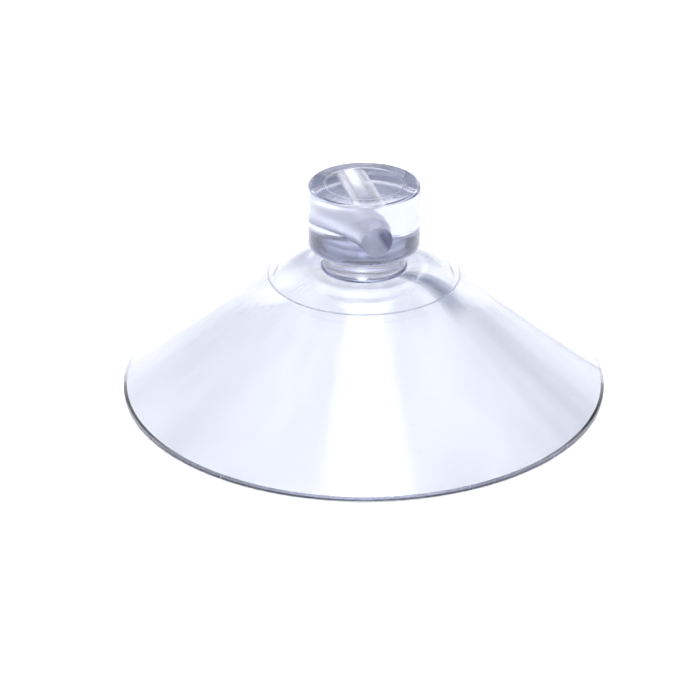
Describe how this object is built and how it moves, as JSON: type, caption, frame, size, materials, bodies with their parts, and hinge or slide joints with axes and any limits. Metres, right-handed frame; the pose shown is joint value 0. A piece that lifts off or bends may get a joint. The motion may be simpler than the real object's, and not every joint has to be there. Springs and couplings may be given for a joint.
{
  "type": "vacuum suction cup",
  "caption": "Clear soft suction cup with a conical skirt, a thin sealing lip and a round button with a cross hole on a short neck.",
  "frame": {"origin": "centre of the sealing edge, in the plane of the surface that the cup stands on", "axes": "+Z along the cup's axis, from the sealing lip up through the button; the cross hole's front end is turned 13.4 degrees from -Y towards +X"},
  "size_m": [0.064, 0.064, 0.0283],
  "materials": {
    "clear_pvc_lip": "clear gloss, soft",
    "clear_pvc_skirt": "clear gloss, soft",
    "clear_pvc_hub": "clear gloss, soft",
    "clear_pvc_neck": "clear gloss, soft",
    "clear_pvc_head": "clear gloss, soft"
  },
  "bodies": {
    "rim": {"sealing_lip": "clear_pvc_lip", "skirt": "clear_pvc_skirt"},
    "crown": {"hub": "clear_pvc_hub"},
    "button": {"neck": "clear_pvc_neck", "head_button": "clear_pvc_head"}
  },
  "joints": [
    {"name": "press", "type": "slide", "parent": "rim", "child": "crown", "axis": [0, 0, -1], "range_m": [0, 0.01], "stiffness_N_per_m": 600, "deforming": ["skirt"]},
    {"name": "rock", "type": "hinge", "parent": "crown", "child": "button", "pos_m": [0, 0, 0.01835], "axis": [0.2317, -0.9728, 0], "range_deg": [-6, 6], "stiffness_Nm_per_rad": 0.1, "deforming": ["neck"]}
  ]
}
